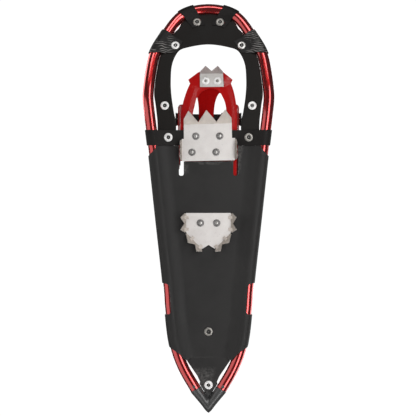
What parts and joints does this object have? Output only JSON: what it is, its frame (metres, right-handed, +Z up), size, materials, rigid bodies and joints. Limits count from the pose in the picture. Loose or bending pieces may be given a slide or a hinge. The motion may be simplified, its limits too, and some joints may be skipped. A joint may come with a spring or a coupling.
{
  "type": "snowshoe",
  "caption": "Teardrop tube-frame snowshoe with wrapped rubber decking, folded steel claws and a toe-cord pivoting binding with wings, straps and buckles.",
  "frame": {"origin": "on the ground under the middle of the shoe's bounding box, with the claw tips at z = 0", "axes": "+Z up, +Y towards the tail, -Y towards the toe, +X towards the outer side of a left foot"},
  "size_m": [0.2602, 0.813, 0.1218],
  "materials": {
    "anodised_tube": "red anodised, glossy",
    "deck_sheet": "matt coated fabric, fine texture",
    "strap_rubber": "matt coated webbing",
    "pad_foam": "matt ribbed",
    "black_plastic": "satin moulded",
    "red_plastic": "semi-gloss moulded",
    "claw_steel": "satin, stamped",
    "rivet_metal": "bright, turned"
  },
  "bodies": {
    "frame": {"frame_tube": "anodised_tube", "tail_cap": "black_plastic", "tail_pin_left": "rivet_metal", "tail_pin_right": "rivet_metal", "toe_deck": "deck_sheet", "main_deck": "deck_sheet", "front_strap_left": "strap_rubber", "front_strap_right": "strap_rubber", "side_strap_left": "strap_rubber", "side_strap_right": "strap_rubber", "toe_cord_left": "strap_rubber", "toe_cord_right": "strap_rubber", "heel_claw": "claw_steel", "front_strap_rivet_left": "rivet_metal", "front_strap_rivet_right": "rivet_metal", "side_strap_rivet_left": "rivet_metal", "side_strap_rivet_right": "rivet_metal", "leg_rivet_left": "rivet_metal", "leg_rivet_right": "rivet_metal", "toe_cord_rivet_left": "rivet_metal", "toe_cord_rivet_right": "rivet_metal", "heel_claw_rivet_left": "rivet_metal", "heel_claw_rivet_right": "rivet_metal", "tail_wrap_rivet": "rivet_metal", "tail_tip_rivet": "rivet_metal"},
    "binding": {"toe_cord_centre": "strap_rubber", "ball_claw": "claw_steel", "toe_claw": "claw_steel", "binding_base": "red_plastic", "foot_pad": "pad_foam", "wing_left": "red_plastic", "wing_right": "red_plastic", "ball_claw_rivet_1": "rivet_metal", "ball_claw_rivet_2": "rivet_metal", "ball_claw_rivet_3": "rivet_metal", "ball_claw_rivet_4": "rivet_metal", "toe_claw_rivet_1": "rivet_metal", "toe_claw_rivet_2": "rivet_metal", "wing_rivet_left_1": "rivet_metal", "wing_rivet_left_2": "rivet_metal", "wing_rivet_right_1": "rivet_metal", "wing_rivet_right_2": "rivet_metal", "toe_strap": "strap_rubber", "toe_strap_tab": "strap_rubber", "instep_strap": "strap_rubber", "instep_strap_tab": "strap_rubber", "toe_buckle": "black_plastic", "instep_buckle": "black_plastic", "toe_strap_rivet_left": "rivet_metal", "toe_strap_rivet_right": "rivet_metal", "instep_strap_rivet_left": "rivet_metal", "instep_strap_rivet_right": "rivet_metal", "heel_pin_left": "rivet_metal", "heel_pin_right": "rivet_metal"},
    "heel_harness": {"heel_strap": "strap_rubber", "heel_buckle": "black_plastic"},
    "toe_lever": {"toe_lever": "red_plastic"},
    "instep_lever": {"instep_lever": "red_plastic"},
    "heel_lever": {"heel_lever": "red_plastic"}
  },
  "joints": [
    {"name": "binding_pivot", "type": "hinge", "parent": "frame", "child": "binding", "pos_m": [0, -0.13498, 0.02575], "axis": [1, 0, 0], "range_deg": [0, 45], "stiffness_Nm_per_rad": 0.6},
    {"name": "heel_strap_swing", "type": "hinge", "parent": "binding", "child": "heel_harness", "pos_m": [0, -0.08348, 0.05525], "axis": [1, 0, 0], "range_deg": [-6, 50]},
    {"name": "toe_lever_hinge", "type": "hinge", "parent": "binding", "child": "toe_lever", "pos_m": [0.03404, -0.17348, 0.11662], "axis": [0, -1, 0], "range_deg": [0, 80]},
    {"name": "instep_lever_hinge", "type": "hinge", "parent": "binding", "child": "instep_lever", "pos_m": [0.03404, -0.11948, 0.11662], "axis": [0, -1, 0], "range_deg": [0, 80]},
    {"name": "heel_lever_hinge", "type": "hinge", "parent": "heel_harness", "child": "heel_lever", "pos_m": [0.07125, -0.06097, 0.05641], "axis": [0, 0.0581, -0.9983], "range_deg": [0, 80]}
  ]
}
